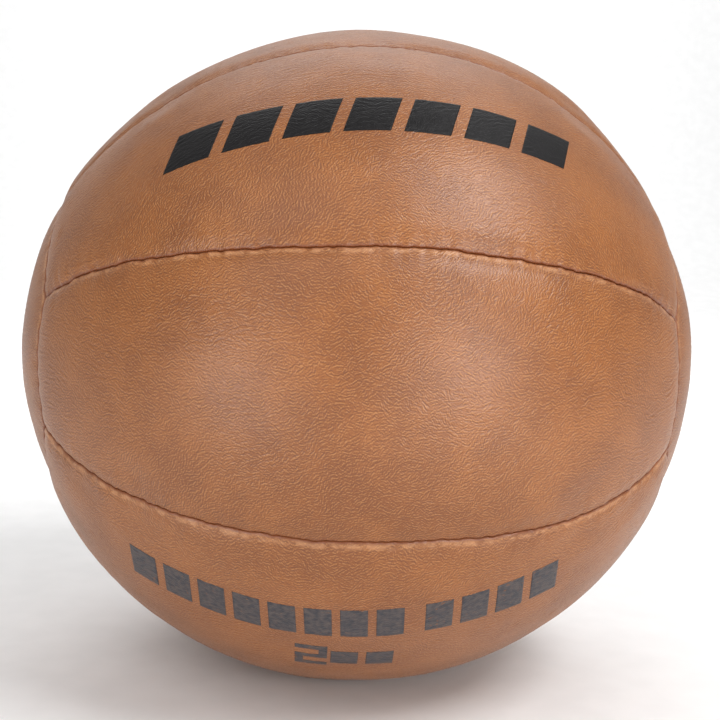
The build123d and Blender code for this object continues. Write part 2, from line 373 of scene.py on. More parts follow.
def stray(seam, latitude):
    """Smooth large drift of a seam, in mm."""
    if seam not in SEAM_STRAYS:
        return 0.0
    degrees = np.arange(-90, 91)
    places, drifts = np.array(SEAM_STRAYS[seam], float).T
    window = np.hanning(15)
    table = np.convolve(np.interp(degrees, places, drifts), window / window.sum(), mode="same")
    return np.interp(np.degrees(latitude), degrees, table)


def toward_spot(latitude, elevation):
    """Unit vector towards a latitude and elevation in degrees."""
    lat, elev = math.radians(latitude), math.radians(elevation)
    return np.array([math.sin(lat), -math.cos(lat) * math.cos(elev), math.cos(lat) * math.sin(elev)])


def with_spots(amount, unit, spots):
    """An amount at unit vectors, plus soft round spots: (latitude, elevation), spread, rise."""
    for place, spread_deg, rise in spots:
        angle = np.degrees(np.arccos(np.clip(unit @ toward_spot(*place), -1, 1)))
        amount = amount + rise * np.exp(-((angle / spread_deg) ** 2))
    return amount


def lumps(point):
    """Height of the large unevenness of the stuffing at points of the smooth ball."""
    unit = point / np.linalg.norm(point, axis=-1)[..., None]
    return with_spots(LUMP_HEIGHT * noise(*np.moveaxis(unit * LUMP_WAVES, -1, 0)), unit, LUMPS)


# Spots where the leather is painted darker (above 0) or paler: (latitude, elevation), spread in degrees,
# amount
# The four pale spots are painted light: three sit where the lamps' highlights fall, and one lightens the
# upper left. The two dark spots darken the leather below the middle and inside the right highlight.
TONE_AND_LIGHT_SPOTS = [
    ((8, -14), 15, 0.5),
    ((20, 4), 9, 0.2),
    ((-44, 28), 16, -0.4),
    ((-30, -8), 12, -0.3),
    ((22, 6), 14, -0.5),
    ((24, 42), 14, -0.4),
]


def tone_and_light(point):
    """How much darker or paler the leather is painted at points of the smooth ball: random tone, plus the
    listed spots, whose pale ones are painted light.
    """
    unit = point / np.linalg.norm(point, axis=-1)[..., None]
    broad = noise(*np.moveaxis(unit * 3.7 + 9.2, -1, 0))
    fine = noise(*np.moveaxis(unit * 8.9, -1, 0))
    return with_spots(0.3 * broad + 0.2 * fine, unit, TONE_AND_LIGHT_SPOTS)


# Directions of the grain seen on the two front gores: place on the panel (mm), spread (mm) and
# turn from lengthwise (degrees)
GRAIN_TURNS = {
    "gore_front": [
        (-58, -24, 22, 62),
        (-66, 2, 20, -18),
        (48, -26, 24, 48),
        (38, 32, 20, 80),
        (-8, -28, 24, 30),
    ],
    "gore_front_top": [(-62, -22, 24, 55), (-22, -26, 22, 72), (30, -30, 24, 30), (72, -10, 22, -40)],
}


def grain_turn(name, p, q, seed):
    """Direction of the grain creases, in radians from the panel's length."""
    turn = 50 * noise(p / 34, q / 27, seed + 2.9) + 22 * noise(p / 11, q / 11, seed + 8.1)
    for x, y, reach, angle in GRAIN_TURNS.get(name, []):
        near = np.exp(-((p - x) ** 2 + (q - y) ** 2) / reach**2)
        turn = turn * (1 - 0.8 * near) + angle * near
    return np.radians(turn + 38 * noise(p / 4.5, q / 4.5, seed + 5.5))


CREASE_CELL = 1.6  # in pitches
CREASES_PER_CELL = 3


def crease_waves(p, q, turn, pitch, seed):
    """Short wavy creases of one pitch (mm) that follow the grain's direction, about -1 to 1."""
    cell = CREASE_CELL * pitch
    cp, cq = np.floor(p / cell).astype(int), np.floor(q / cell).astype(int)
    c, s = np.cos(turn), np.sin(turn)
    total = 0.0
    for dp in (-1, 0, 1):
        for dq in (-1, 0, 1):
            for k in range(CREASES_PER_CELL):
                h = NOISE_PERM[(cp + dp) & 255]
                h = NOISE_PERM[(h + cq + dq) & 255]
                h = NOISE_PERM[(h + k + seed) & 255]
                g = NOISE_GRAD[h]
                x = p - (cp + dp + 0.5 + 0.7 * g[..., 0]) * cell
                y = q - (cq + dq + 0.5 + 0.7 * g[..., 1]) * cell
                across_grain = (y * c - x * s) / pitch
                bell = np.exp(-(x * x + y * y) / (0.55 * cell**2))
                total = total + bell * np.cos(2 * math.pi * (across_grain + 0.5 * g[..., 2]))
    return total / 1.6  # its usual peak


def roll_drop(d):
    """How far leather has turned down at a distance from its seam."""
    inside = np.clip(ROLL - d, 0, ROLL)
    return ROLL - np.sqrt(ROLL**2 - inside**2)


def seam_wander(run, seam, d):
    """Sideways wander of a seam line, shared by the two panels that meet there."""
    broad = 0.5 * noise(run / 11, seam * 7.3, 0.4) + 0.24 * noise(run / 4.3, seam * 3.1, 5.2)
    fine = 0.26 * noise(run / 1.7, seam * 5.7, 9.4)
    return broad * np.exp(-d / WANDER_REACH) + fine * np.exp(-d / WOBBLE_REACH)


def seam_pull(run, seam, d):
    """Dips where the stitches pull a seam in, and the uneven scallops between them."""
    stitches = 0.5 + 0.5 * np.cos(2 * math.pi * run / STITCH + seam * 2.1)
    scallops = 0.5 + noise(run / 1.5, seam * 4.1, 2.2)
    return STITCH_DIP * stitches * np.exp(-d / DIP_REACH) + SCALLOP * scallops * np.exp(-d / SCALLOP_REACH)


def puckers(run, seed, d):
    """Short creases that run into a seam."""
    length = 3.0 + 2.0 * np.clip(noise(run / 14, seed, 3.3), -0.8, 1)
    reach = np.exp(-d / length) * smoothstep(0.1, 1.2, d)
    return PUCKER * reach * np.clip(np.abs(noise(run / 2.3, seed, d / 9)) * 2 - 0.55, -0.6, 0.8)


def panel_frame(latitude, azimuth):
    """Points of the smooth ball with their outward, lengthwise and round-the-ball directions."""
    point = on_ball(latitude, azimuth)
    c, s, zero = np.cos(azimuth), np.sin(azimuth), np.zeros_like(azimuth)
    n_x = point[..., :1] / ARC_R
    n_r = np.sqrt(1 - n_x**2)
    radial = np.stack([zero, -c, s], axis=-1)
    length = np.array([1.0, 0.0, 0.0])
    normal, along = n_r * radial + n_x * length, n_r * length - n_x * radial
    return point, normal, along, np.stack([zero, s, c], axis=-1)


def on_floor(points, level):
    """Points pressed up, with a soft edge, to stay at least a level above the floor."""
    z = points[..., 2] / MM - level
    points[..., 2] = (level + 0.5 * (z + np.sqrt(z**2 + FLOOR_SOFTNESS**2))) * MM
    return points


def stuffed(name, latitude, azimuth):
    """Points under the leather's grain and rolls: smooth ball, swell from the cloth run, and lumps."""
    point, normal, along, across = panel_frame(latitude, azimuth)
    if name in GORES:
        psi = gore_psi(name, azimuth)
        row = (latitude / (math.pi / 2 - cap_polar(psi)) + 1) / 2 * SIM_ALONG
        column = (psi / HALF_GORE + 1) / 2 * SIM_ACROSS
        swollen = sample(GORE_SWELL[name], row, column)
    else:
        row = (math.pi / 2 - np.abs(latitude)) / cap_polar(cap_psi(azimuth)) * SIM_RINGS
        column = (azimuth + HALF_GORE) / (2 * math.pi) * SIM_AROUND
        swollen = sample(CAP_SWELL[name], row, column, around=True)
    raised = point + swollen + normal * (lumps(point) * MM)[..., None]
    return raised, normal, along, across, point


def gore_seams(name, latitude, azimuth, around_r):
    """A gore's flat coordinates and its distances (mm) from the two end seams and the two side seams."""
    psi = gore_psi(name, azimuth)
    half_lat = math.pi / 2 - cap_polar(psi)
    ends = [BALL_R * (half_lat + latitude), BALL_R * (half_lat - latitude)]
    sides = [around_r * (HALF_GORE + psi), around_r * (HALF_GORE - psi)]
    return latitude * BALL_R, psi * around_r, ends, sides


def cap_seam(latitude, azimuth):
    """A cap's flat coordinates and its distance (mm) from its seam."""
    polar = math.pi / 2 - np.abs(latitude)
    p, q = BALL_R * polar * np.cos(azimuth), BALL_R * polar * np.sin(azimuth)
    return p, q, [BALL_R * (cap_polar(cap_psi(azimuth)) - polar)], []


def leather(name, latitude, azimuth, lift=0.0):
    """Final points of a panel's outer face, its marks (crease; seam, which places painted shade and painted
    lip highlights; tone, which holds painted light), flat coordinates and shift.
    """
    raised, normal, along, across, point = stuffed(name, latitude, azimuth)
    around_r = np.hypot(point[..., 1], point[..., 2]) / MM
    seed = 17.0 * list(GORES | CAPS).index(name)
    shift_along = shift_across = 0.0
    if name in GORES:
        p, q, ends, sides = gore_seams(name, latitude, azimuth, around_r)
        end_sides = [-1.0, 1.0]
        seam_numbers = [(list(GORES).index(name) + k) % len(GORES) for k in (0, 1)]
    else:
        p, q, ends, sides = cap_seam(latitude, azimuth)
        end_sides = [CAPS[name]]
        seam_numbers = []
    fade = smoothstep(0, 12, np.minimum(*ends)) if sides else 0.0
    for number, d in zip(seam_numbers, sides):
        shift_across = shift_across + fade * seam_wander(p, number + 1.0, d)
        shift_across = shift_across + stray(number, latitude) * np.exp(-np.maximum(d, 0) / STRAY_REACH)
    wrap = np.stack([np.cos(azimuth), np.sin(azimuth)]) * CAP_SEAM_R
    for side, d in zip(end_sides, ends):
        wander = 0.5 * noise(wrap[0] / 10, wrap[1] / 10, 20 + side) * np.exp(-d / WANDER_REACH)
        shift_along = shift_along + wander
    drop = down = 0.0
    runs = [azimuth * CAP_SEAM_R] * len(ends) + [p] * len(sides)
    seam_ids = [10.0 + side for side in end_sides] + [number + 1.0 for number in seam_numbers]
    for k, (d, run, seam) in enumerate(zip(ends + sides, runs, seam_ids)):
        d = np.maximum(d, 0)
        drop = drop + roll_drop(np.maximum(d - SEAM_GAP, 0)) ** 3
        down = down + seam_pull(run, seam, d) - puckers(run, seed + k, d)
    near = np.minimum.reduce([np.maximum(d, 0) for d in ends + sides])
    turn = grain_turn(name, p, q, seed)
    grain = crease_waves(p, q, turn, GRAIN_PITCH, int(seed))
    folds = noise((p + 4 * noise(p / 20, q / 20, seed)) / FOLD_LENGTH, q / FOLD_WIDTH, seed + 3.3)
    height = GRAIN_HEIGHT * grain * smoothstep(0.3, 2.0, near) + FOLD_HEIGHT * folds * smoothstep(1, 9, near)
    height = height - np.cbrt(drop) - down + lift
    ones = np.ones_like(p)
    shift = along * (shift_along * ones)[..., None] + across * (shift_across * ones)[..., None]
    out = on_floor(raised + normal * (height * MM)[..., None] + shift * MM + CENTRE, 0.0)
    flat = np.stack([p + 20 * seed, q, turn], axis=-1)
    marks = np.stack([grain, np.exp(-near / SEAM_SHADE_REACH), tone_and_light(point)], axis=-1)
    return out, marks, flat, shift * MM


# ---------------------------------------------------------------- panel meshes

EDGE_STEPS = np.array([0, 0.03, 0.08, 0.15, 0.24, 0.36, 0.52, 0.72, 0.98, 1.3, 1.7])
ROWS, COLUMNS = 470, 164
CAP_ROWS, CAP_COLUMNS = 92, 560
# Depth below the crown, and the share of the seam's stray that is left there
FLANGE_DEPTHS = [(2.2, 1.0), (3.2, 0.9), (4.6, 0.5), (6.6, 0.0), (8.6, 0.0)]
LINING_DEPTH, LINING_FOLLOW = 2.9, 0.9
LINING_EDGE, LINING_EDGE_DEPTH = 1.2, 1.6
# Loops of the inner skin: share of the panel's size, and share of the seam's stray
INNER_LOOPS = [(0.95, 0.8), (0.85, 0.4), (0.65, 0.0), (0.4, 0.0), (0.16, 0.0)]
PLAIN_MARKS = (0.5, 0.0)  # crease, and tone with its painted light, where no crease is worked out


def spread(limit, count):
    """Positions from -limit to limit (in mm, limit may be an array), close together near both ends."""
    limit = np.asarray(limit)[..., None]
    inner = np.linspace(-1, 1, count - 2 * len(EDGE_STEPS) + 2)[1:-1] * (limit - EDGE_STEPS[-1])
    outer = limit - EDGE_STEPS
    return np.concatenate([-outer, inner, outer[..., ::-1]], axis=-1)


def grid_quads(index):
    """Quads of a grid of vertex numbers."""
    return np.stack([index[:-1, :-1], index[1:, :-1], index[1:, 1:], index[:-1, 1:]], axis=-1).reshape(-1, 4)


def gore_params(name):
    """Latitude and azimuth of each point of a gore's outer grid."""
    nominal = spread(BALL_R * (math.pi / 2 - CAP_APOTHEM) - SEAM_GAP, ROWS) / BALL_R
    around_r = np.hypot(*on_ball(nominal, np.zeros(ROWS))[:, 1:].T) / MM
    psi = spread(around_r * HALF_GORE - SEAM_GAP, COLUMNS) / around_r[:, None]
    half_lat = math.pi / 2 - cap_polar(psi)
    share = nominal / nominal[-1]
    edge_mm = BALL_R * (nominal[-1] - np.abs(nominal))[:, None]
    by_edge = np.sign(share)[:, None] * (half_lat - (SEAM_GAP + edge_mm) / BALL_R)
    by_share = share[:, None] * (half_lat - SEAM_GAP / BALL_R)
    mix = smoothstep(EDGE_STEPS[-1], 30, edge_mm)
    return by_edge * (1 - mix) + by_share * mix, math.radians(GORES[name]) + psi


def border(grid):
    """Border of a grid of values, once round."""
    return np.concatenate([grid[0, :-1], grid[:-1, -1], grid[-1, :0:-1], grid[:0:-1, 0]])


def gore_inset(name, latitude, azimuth, inset):
    """Border points of a gore moved away from the seams."""
    psi = gore_psi(name, azimuth)
    around_r = np.hypot(*on_ball(latitude, azimuth)[..., 1:].T) / MM
    half_lat = math.pi / 2 - cap_polar(psi)
    share_c = psi / (HALF_GORE - SEAM_GAP / around_r)
    share_r = latitude / (half_lat - SEAM_GAP / BALL_R)
    psi = share_c * (HALF_GORE - (SEAM_GAP + inset) / around_r)
    half_lat = math.pi / 2 - cap_polar(psi)
    return share_r * (half_lat - (SEAM_GAP + inset) / BALL_R), math.radians(GORES[name]) + psi


def skin_point(name, latitude, azimuth, depth):
    """Points at a depth below the stuffed surface, in the row frame."""
    raised = stuffed(name, latitude, azimuth)[0]
    sunk = raised * (1 - depth * MM / np.linalg.norm(raised, axis=-1))[..., None]
    return on_floor(sunk + CENTRE, LEATHER if np.all(depth > 0) else 0.0)


def gore_face(name):
    """A gore's outer grid (latitudes, azimuths, faces), the numbers of its border and a way to inset it."""
    latitude, azimuth = gore_params(name)
    index = np.arange(latitude.size).reshape(latitude.shape)
    ring_lat, ring_az = border(latitude), border(azimuth)

    def inset_by(inset):
        return gore_inset(name, ring_lat, ring_az, inset)

    return latitude.ravel(), azimuth.ravel(), grid_quads(index).tolist(), border(index), inset_by


def cap_face(name):
    """The same for an end cap, whose grid is rings about a pole."""
    side = CAPS[name]
    columns = np.arange(CAP_COLUMNS) / CAP_COLUMNS * 2 * math.pi - HALF_GORE
    limit = BALL_R * cap_polar(cap_psi(columns)) - SEAM_GAP
    inner = np.linspace(0, 1, CAP_ROWS - len(EDGE_STEPS) + 1)[1:-1][:, None] * (limit - EDGE_STEPS[-1])
    polar = np.concatenate([inner, limit - EDGE_STEPS[::-1][:, None]]) / BALL_R
    latitude = side * (math.pi / 2 - polar)
    index = np.arange(polar.size).reshape(polar.shape)
    nxt = np.roll(index, -1, axis=1)
    quads = np.stack([index[:-1], index[1:], nxt[1:], nxt[:-1]], axis=-1).reshape(-1, 4)
    fan = np.stack([np.full(CAP_COLUMNS, polar.size), index[0], nxt[0]], axis=-1)
    if side > 0:
        quads, fan = quads[:, ::-1], fan[:, ::-1]
    way = 1 if side > 0 else -1
    ring_lat, ring_az = latitude[-1][::way], columns[::way]

    def inset_by(inset):
        return side * (np.abs(ring_lat) + inset / BALL_R), ring_az

    grid_lat = np.append(latitude.ravel(), side * math.pi / 2)
    grid_az = np.append(np.broadcast_to(columns, polar.shape).ravel(), 0.0)
    return grid_lat, grid_az, quads.tolist() + fan.tolist(), index[-1][::way], inset_by


def panel_mesh(name):
    """Vertices, faces and per-vertex values of one closed leather panel with turned-in flanges."""
    is_gore = name in GORES
    grid_lat, grid_az, faces, ring, inset_by = gore_face(name) if is_gore else cap_face(name)
    middle = (0.0, math.radians(GORES[name])) if is_gore else (CAPS[name] * math.pi / 2, 0.0)
    outer, mark, flat, shift = leather(name, grid_lat, grid_az)
    shift = shift[ring]
    points, marks, flats = [outer], [mark], [flat]
    size = len(ring)
    last = ring
    base = len(outer)
    crease, plain_tone_and_light = PLAIN_MARKS

    # Each loop's seam mark sets its painted shade: full on the flanges and lining down in the seam, half at
    # the lining's edge, none further in
    def add_loop(loop, seam_shade_mark):
        nonlocal last, base
        points.append(loop)
        marks.append(np.tile((crease, seam_shade_mark, plain_tone_and_light), (size, 1)))
        flats.append(flat[ring])
        fresh = np.arange(base, base + size)
        faces.extend(np.stack([last, np.roll(last, -1), np.roll(fresh, -1), fresh], axis=-1).tolist())
        last, base = fresh, base + size

    def lining(place, depth, follow):
        return skin_point(name, *place, np.full(size, depth)) + shift * follow

    top = outer[ring] - shift
    inward = CENTRE - top
    inward /= np.linalg.norm(inward, axis=1)[:, None]
    crown = skin_point(name, grid_lat[ring], grid_az[ring], np.zeros(size))
    level = np.linalg.norm(crown - CENTRE, axis=1) / MM
    down_now = level - np.linalg.norm(top - CENTRE, axis=1) / MM
    for depth, follow in FLANGE_DEPTHS:
        add_loop(top + inward * (np.maximum(depth - down_now, 0.2) * MM)[:, None] + shift * follow, 1.0)
    inside = inset_by(LEATHER)
    add_loop(lining(inside, FLANGE_DEPTHS[-1][0], 0.0), 1.0)
    add_loop(lining(inside, LINING_DEPTH, LINING_FOLLOW), 1.0)
    lat_in, az_in = inset_by(LEATHER + LINING_EDGE)
    add_loop(lining((lat_in, az_in), LINING_EDGE_DEPTH, 1.0), 0.5)
    for share, follow in INNER_LOOPS:
        if is_gore:
            place = (lat_in * share, middle[1] + (az_in - middle[1]) * share)
        else:
            place = (middle[0] - (middle[0] - lat_in) * share, az_in)
        add_loop(lining(place, LEATHER + 0.2, follow), 0.0)
    points.append(skin_point(name, *(np.array([angle]) for angle in middle), np.array([LEATHER + 0.1])))
    marks.append(np.array([[crease, 0.0, plain_tone_and_light]]))
    flats.append(flat[:1])
    faces.extend(np.stack([last, np.roll(last, -1), np.full(size, base)], axis=-1).tolist())
    return np.concatenate(points), faces, np.concatenate(marks), np.concatenate(flats)


def make_object(name, points, faces, marks=None, flat=None):
    """Object of a mesh whose vertices may carry marks and flat coordinates for the materials."""
    mesh = bpy.data.meshes.new(name)
    mesh.from_pydata(points.tolist(), [], faces)
    mesh.update()
    for label, values in (("marks", marks), ("flat", flat)):
        if values is not None:
            field = mesh.attributes.new(label, "FLOAT_VECTOR", "POINT")
            field.data.foreach_set("vector", values.astype(np.float32).ravel())
    mesh.shade_smooth()
    obj = bpy.data.objects.new(name, mesh)
    bpy.context.scene.collection.objects.link(obj)
    return obj


# ---------------------------------------------------------------- materials


GABOR_SCALE = 0.5


class Shader:
    """One material's node tree, with short calls for the nodes used here."""

    def __init__(self, name):
        self.material = bpy.data.materials.new(name)
        self.material.use_nodes = True
        self.nodes = self.material.node_tree.nodes
        self.links = self.material.node_tree.links
        self.surface = self.nodes["Principled BSDF"]

    def put(self, socket, value):
        """Link a socket, or set it to a constant."""
        if isinstance(value, bpy.types.NodeSocket):
            self.links.new(value, socket)
        else:
            socket.default_value = value

    def attribute(self, name):
        """A value stored on the mesh."""
        node = self.nodes.new("ShaderNodeAttribute")
        node.attribute_name = name
        return node.outputs["Vector"]

    def position(self):
        """The place, in metres."""
        return self.nodes.new("ShaderNodeNewGeometry").outputs["Position"]

    def math(self, operation, a, b=0.0):
        """One step of arithmetic."""
        node = self.nodes.new("ShaderNodeMath")
        node.operation = operation
        self.put(node.inputs[0], a)
        self.put(node.inputs[1], b)
        return node.outputs[0]

    def weighted(self, *terms):
        """Sum of values, each times its weight."""
        total = None
        for value, weight in terms:
            value = value if weight == 1 else self.math("MULTIPLY", value, weight)
            total = value if total is None else self.math("ADD", total, value)
        return total

    def noise(self, vector, scale, detail=2.0, roughness=0.5, output="Fac"):
        """Smooth noise, about 0.5 on average."""
        node = self.nodes.new("ShaderNodeTexNoise")
        self.put(node.inputs["Vector"], vector)
        node.inputs["Scale"].default_value = scale
        node.inputs["Detail"].default_value = detail
        node.inputs["Roughness"].default_value = roughness
        return node.outputs[output]

    def warped(self, vector, scale, amount):
        """The same place, moved about by noise."""
        node = self.nodes.new("ShaderNodeVectorMath")
        node.operation = "MULTIPLY_ADD"
        self.put(node.inputs[0], self.noise(vector, scale, 2.0, 0.5, "Color"))
        node.inputs[1].default_value = (amount, amount, 0.0)
        self.put(node.inputs[2], vector)
        return node.outputs[0]

    def waves(self, vector, frequency, direction, turn):
        """Creases across a turn (radians), 0 to 1; direction 1 makes them all parallel."""
        node = self.nodes.new("ShaderNodeTexGabor")
        node.gabor_type = "2D"
        self.put(node.inputs["Vector"], vector)
        node.inputs["Scale"].default_value = GABOR_SCALE
        node.inputs["Frequency"].default_value = frequency / GABOR_SCALE
        node.inputs["Anisotropy"].default_value = direction
        self.put(node.inputs["Orientation"], turn)
        return self.ramp(node.outputs["Value"], 0.3, 0.7)

    def split(self, vector):
        """The three parts of a vector."""
        node = self.nodes.new("ShaderNodeSeparateXYZ")
        self.put(node.inputs[0], vector)
        return node.outputs

    def cells(self, vector, scale):
        """Distance from the edges of irregular cells."""
        node = self.nodes.new("ShaderNodeTexVoronoi")
        node.feature = "DISTANCE_TO_EDGE"
        self.put(node.inputs["Vector"], vector)
        node.inputs["Scale"].default_value = scale
        return node.outputs["Distance"]

    def ramp(self, value, low, high, to_low=0.0, to_high=1.0):
        """Smooth step from one value to another."""
        node = self.nodes.new("ShaderNodeMapRange")
        node.interpolation_type = "SMOOTHSTEP"
        self.put(node.inputs["Value"], value)
        for label, number in zip(("From Min", "From Max", "To Min", "To Max"), (low, high, to_low, to_high)):
            node.inputs[label].default_value = number
        return node.outputs[0]

    def mix(self, amount, a, b):
        """Colour between two colours."""
        node = self.nodes.new("ShaderNodeMix")
        node.data_type = "RGBA"
        self.put(node.inputs[0], amount)
        self.put(node.inputs[6], a)
        self.put(node.inputs[7], b)
        return node.outputs[2]

    def bump(self, height, strength, distance):
        """Normal of a fine relief."""
        node = self.nodes.new("ShaderNodeBump")
        node.inputs["Strength"].default_value = strength
        node.inputs["Distance"].default_value = distance
        self.put(node.inputs["Height"], height)
        return node.outputs[0]

    def finish(self, **sockets):
        """The material, with the named sockets of its surface filled in."""
        for label, value in sockets.items():
            title = label.replace("_", " ").title().replace("Ior", "IOR")
            self.put(self.surface.inputs[title], value)
        return self.material


def rgb(r, g, b):
    """Linear colour from an sRGB one."""
    return (*[((c / 255 + 0.055) / 1.055) ** 2.4 for c in (r, g, b)], 1.0)


TAN_DARK, TAN_PALE = rgb(123, 67, 19), rgb(142, 82, 29)
CREASE_BROWN, PAD_PALE = rgb(92, 46, 18), rgb(202, 146, 89)
# Painted highlight for the lip below each seam, and painted shade of dark brown along the seams
LIP_HIGHLIGHT, SEAM_SHADE_BROWN = rgb(214, 158, 112), rgb(118, 58, 20)
CREASE_BUMP, CREASE_DEPTH = 0.65, 0.00016


def leather_looks(sh):
    """Colour, roughness and normal of the tan leather."""
    flat = sh.attribute("flat")
    _, q, turn = sh.split(flat)
    grain, seam, tone_and_light_here = sh.split(sh.attribute("marks"))
    across_grain = sh.math("ADD", turn, math.pi / 2)
    fine = sh.noise(flat, 1.5, 3.0, 0.65)
    net = sh.ramp(sh.cells(sh.warped(flat, 0.8, 0.9), 0.85), 0.0, 0.3)
    coarse = sh.waves(flat, 1.12, 0.55, across_grain)
    close = sh.waves(flat, 1.75, 0.3, across_grain)
    height = sh.weighted((coarse, 0.3), (close, 0.22), (net, 0.08), (fine, 0.4), (grain, 0.04))
    # The tone mark brings in painted light where the lamps' highlights fall
    patches = sh.weighted((sh.noise(flat, 0.05, 4.0, 0.6), 1), (tone_and_light_here, -0.2))
    base = sh.mix(sh.ramp(patches, 0.3, 0.7), TAN_DARK, TAN_PALE)
    base = sh.mix(sh.ramp(height, 0.25, 0.5, 0.6, 0.0), base, CREASE_BROWN)
    base = sh.mix(sh.ramp(height, 0.5, 0.75, 0.0, 0.34), base, PAD_PALE)
    # The panel below each seam stands proud of it, and its lip gets a painted highlight, broken into patches
    # by noise
    lip_highlight = sh.math("MULTIPLY", sh.ramp(seam, 0.15, 0.4), sh.ramp(q, 2.0, 8.0))
    highlight_patches = sh.ramp(sh.noise(flat, 0.3, 3.0, 0.6), 0.38, 0.62, 0.03, 0.36)
    base = sh.mix(sh.math("MULTIPLY", lip_highlight, highlight_patches), base, LIP_HIGHLIGHT)
    # Painted shade: dark brown along each seam and on its flanges, where the seam's crease lies in shade
    base = sh.mix(sh.ramp(seam, 0.45, 0.9, 0.0, 0.9), base, SEAM_SHADE_BROWN)
    rough = sh.ramp(fine, 0.3, 0.8, 0.45, 0.36)
    return base, rough, sh.bump(height, CREASE_BUMP, CREASE_DEPTH)


def leather_material():
    """Tan leather with a light finish."""
    sh = Shader("leather_tan")
    base, rough, normal = leather_looks(sh)
    return sh.finish(
        base_color=base,
        roughness=rough,
        normal=normal,
        specular_ior_level=0.68,
        sheen_weight=0.06,
        sheen_roughness=0.4,
        sheen_tint=rgb(235, 218, 205),
    )


# ---------------------------------------------------------------- cover panels

leather_tan = leather_material()
for name in list(GORES) + list(CAPS):
    panel = make_object("leather_" + name, *panel_mesh(name))
    panel.data.materials.append(leather_tan)
    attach(panel, "root")
    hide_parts(name)

# ---------------------------------------------------------------- printed marks

INK_LIFT, INK_BELOW = 0.07, -0.2  # mm above the leather's face
INK_STEP = 0.45  # size of the film's faces
UPPER_BLOCK, UPPER_GAP, UPPER_COUNT = (13.0, 13.5), 3.6, 7
UPPER_LEAN, UPPER_TILT = 0.3, math.radians(3.0)
UPPER_Y, LOWER_Y, WEIGHT_Y = -1.0, 13.5, -7.0
LOWER_BLOCK, LOWER_GAP, LOWER_TILT = (7.8, 12.5), 2.4, math.radians(2.5)
LOWER_GROUPS = ((-25.0, 8), (39.8, 4))
NUMERAL, STROKE, NUMERAL_X = (9.5, 14.0), 2.5, -12.0
UNIT_BLOCK, UNIT_COUNT, UNIT_X = (8.0, 9.0), 2, 3.0


def rectangle(x, y, width, height):
    """Corners of a rectangle about a point."""
    w, h = width / 2, height / 2
    return [(x - w, y - h), (x + w, y - h), (x + w, y + h), (x - w, y + h)]


def block_row(centre_x, y, count, size, gap, lean=0.0, tilt=0.0):
    """Corners of a row of equal blocks, in mm on the panel."""
    width, height = size
    c, s = math.cos(tilt), math.sin(tilt)
    row = []
    for k in range(count):
        x = centre_x + (width + gap) * (k - (count - 1) / 2)
        shape = [(u + lean * (v - y), v) for u, v in rectangle(x, y, width, height)]
        row.append([(u * c - v * s, u * s + v * c) for u, v in shape])
    return row


def numeral_two(x, y):
    """Plain figure 2 of five straight strokes."""
    width, height = NUMERAL
    rise, side = (height - STROKE) / 2, (width - STROKE) / 2
    strokes = [rectangle(x, y + level, width, STROKE) for level in (rise, 0, -rise)]
    strokes.append(rectangle(x + side, y + rise / 2, STROKE, rise - STROKE))
    strokes.append(rectangle(x - side, y - rise / 2, STROKE, rise - STROKE))
    return strokes


def patch_grid(patch, panel):
    """Latitudes and azimuths of a fine grid over a flat patch of a gore."""
    a, b, c, d = np.array(patch)
    nx = max(2, round(np.linalg.norm(b - a) / INK_STEP)) + 1
    ny = max(2, round(np.linalg.norm(d - a) / INK_STEP)) + 1
    u, v = np.meshgrid(np.linspace(0, 1, nx), np.linspace(0, 1, ny), indexing="ij")
    u, v = u[..., None], v[..., None]
    place = ((1 - u) * (1 - v) * a + u * (1 - v) * b + u * v * c + (1 - u) * v * d) * MM
    around_r = np.sqrt(ARC_R**2 - place[..., 0] ** 2) - ARC_DROP
    azimuth = math.radians(GORES[panel]) + np.arcsin(place[..., 1] / around_r)
    return np.arctan2(place[..., 0], around_r), azimuth


def printed(name, node, panel, patches, material):
    """Thin closed film of ink that follows the leather under each patch."""
    points, faces, marks, flats = [], [], [], []
    base = 0
    for patch in patches:
        latitude, azimuth = patch_grid(patch, panel)
        index = np.arange(latitude.size).reshape(latitude.shape)
        quads = grid_quads(index)
        rim = border(index)
        low = rim + index.size
        walls = np.stack([rim, np.roll(rim, -1), np.roll(low, -1), low], axis=-1)
        for faces_here in (quads, quads[:, ::-1] + index.size, walls):
            faces += (faces_here + base).tolist()
        for lift in (INK_LIFT, INK_BELOW):
            place, mark, flat, _ = leather(panel, latitude.ravel(), azimuth.ravel(), lift)
            points.append(place)
            marks.append(mark)
            flats.append(flat)
        base += 2 * index.size
    film = make_object(name, np.concatenate(points), faces, np.concatenate(marks), np.concatenate(flats))
    film.data.materials.append(material)
    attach(film, "root")
    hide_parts(node)


def ink_material(name, dark, worn, wear_from, wear_to, gloss):
    """Ink over grained leather, worn off the grain's pads where the wear noise is high."""
    sh = Shader(name)
    base, _, normal = leather_looks(sh)
    flat, grain = sh.attribute("flat"), sh.split(sh.attribute("marks"))[0]
    rub = sh.weighted((sh.noise(flat, 0.9, 4.0, 0.65), 1), (grain, 0.06), (sh.noise(flat, 0.05, 2.0), 0.5))
    mottle = sh.noise(flat, 0.6, 3.0)
    ink = sh.mix(sh.ramp(mottle, 0.3, 0.7), dark, worn)
    color = sh.mix(sh.ramp(rub, wear_from, wear_to), ink, base)
    rough = sh.ramp(mottle, 0.3, 0.7, 0.4, 0.5)
    return sh.finish(base_color=color, roughness=rough, normal=normal, specular_ior_level=gloss)


